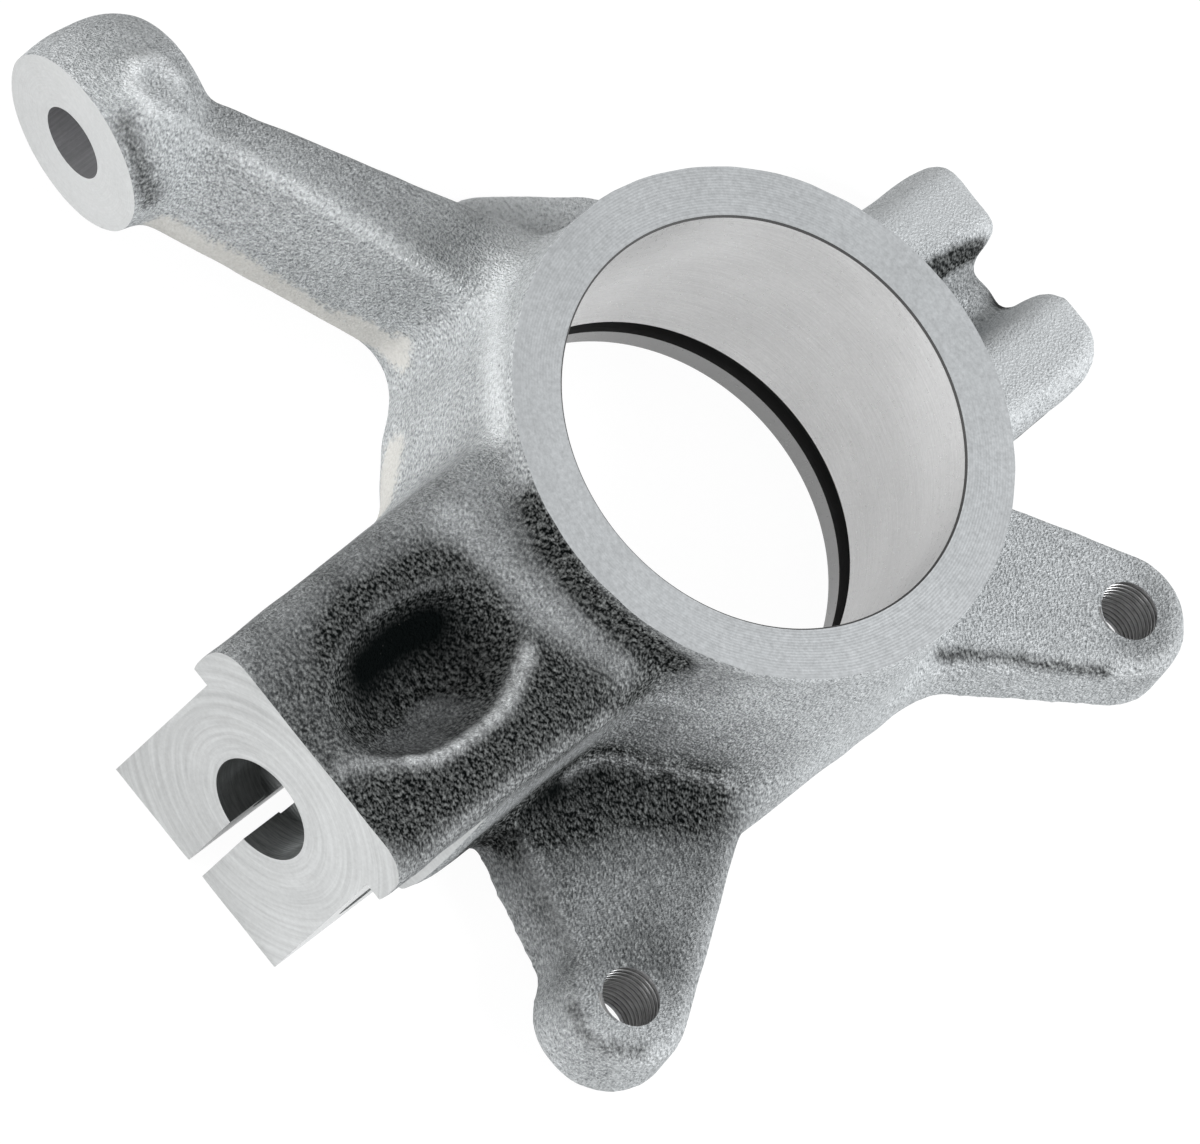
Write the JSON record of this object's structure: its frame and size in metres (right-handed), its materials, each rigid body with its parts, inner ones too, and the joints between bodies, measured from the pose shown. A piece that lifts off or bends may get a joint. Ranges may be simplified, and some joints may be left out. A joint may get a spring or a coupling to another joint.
{
  "type": "steering knuckle",
  "caption": "Cast iron steering knuckle: bearing ring with steering arm, split ball-joint clamp, tapped caliper ears and a flanged strut tongue.",
  "frame": {"origin": "wheel axis where it meets the ring's inboard face", "axes": "+Z along the wheel axis towards the outboard face, +Y towards the strut tongue (up on the vehicle), +X away from the steering arm, towards the caliper ears"},
  "size_m": [0.1932, 0.1915, 0.0528],
  "materials": {
    "cast_iron": "shot-blasted casting with bright machined faces"
  },
  "bodies": {
    "root": {"steering_knuckle": "cast_iron"}
  },
  "joints": []
}
